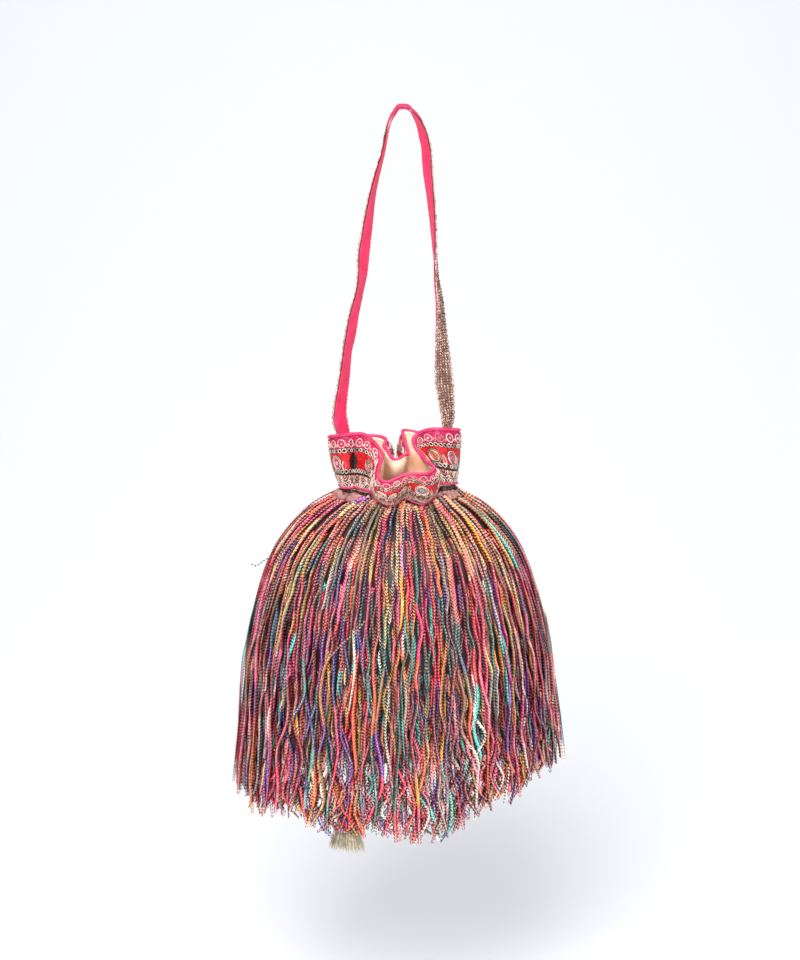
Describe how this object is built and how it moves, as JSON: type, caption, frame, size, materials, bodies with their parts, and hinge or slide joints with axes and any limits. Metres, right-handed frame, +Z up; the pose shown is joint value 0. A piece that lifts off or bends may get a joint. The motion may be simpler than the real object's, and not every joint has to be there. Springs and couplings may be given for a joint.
{
  "type": "potli bag",
  "caption": "Drawstring potli bag with an embroidered ruffled collar, a ribbon and lace strap, and a deep fringe of variegated chain-stitched cords.",
  "frame": {"origin": "the inner face of the strap at its crown, where a hook or a hand carries the bag", "axes": "+Z up, +X to the right and -Y to the front of the bag"},
  "size_m": [0.2698, 0.2054, 0.5833],
  "materials": {
    "satin": "satin weave, soft gloss",
    "lining": "smooth woven lining",
    "embroidery": "corded embroidery on a pink and red ground",
    "piping": "bias-bound piping, plain weave",
    "cord": "twisted rayon cord",
    "silk": "loose silky threads",
    "yarn": "chain-stitched variegated yarn",
    "ribbon": "plain-weave ribbon",
    "lace": "metallic-thread lace with scalloped edges"
  },
  "bodies": {
    "root": {"pouch_side_panel": "satin", "pouch_base_panel": "satin", "drawstring_casing": "satin", "lining_side_panel": "lining", "lining_base_panel": "lining", "collar_band": "embroidery", "rim_piping": "piping", "foot_piping": "piping", "drawstring_loop": "cord", "drawstring_tail": "cord", "tassel_cap": "silk", "tassel_skirt": "silk", "shoulder_chainwork": "yarn", "strap_backing": "ribbon", "strap_lace": "lace", "fringe_lock_01": "yarn", "fringe_lock_02": "yarn", "fringe_lock_03": "yarn", "fringe_lock_04": "yarn", "fringe_lock_05": "yarn", "fringe_lock_06": "yarn", "fringe_lock_07": "yarn", "fringe_lock_08": "yarn", "fringe_lock_09": "yarn", "fringe_lock_10": "yarn", "fringe_lock_11": "yarn", "fringe_lock_12": "yarn", "fringe_lock_13": "yarn", "fringe_lock_14": "yarn", "fringe_lock_15": "yarn", "fringe_lock_16": "yarn", "fringe_lock_17": "yarn", "fringe_lock_18": "yarn", "fringe_lock_19": "yarn", "fringe_lock_20": "yarn", "fringe_lock_21": "yarn", "fringe_lock_22": "yarn", "fringe_lock_23": "yarn", "fringe_lock_24": "yarn"}
  },
  "joints": []
}
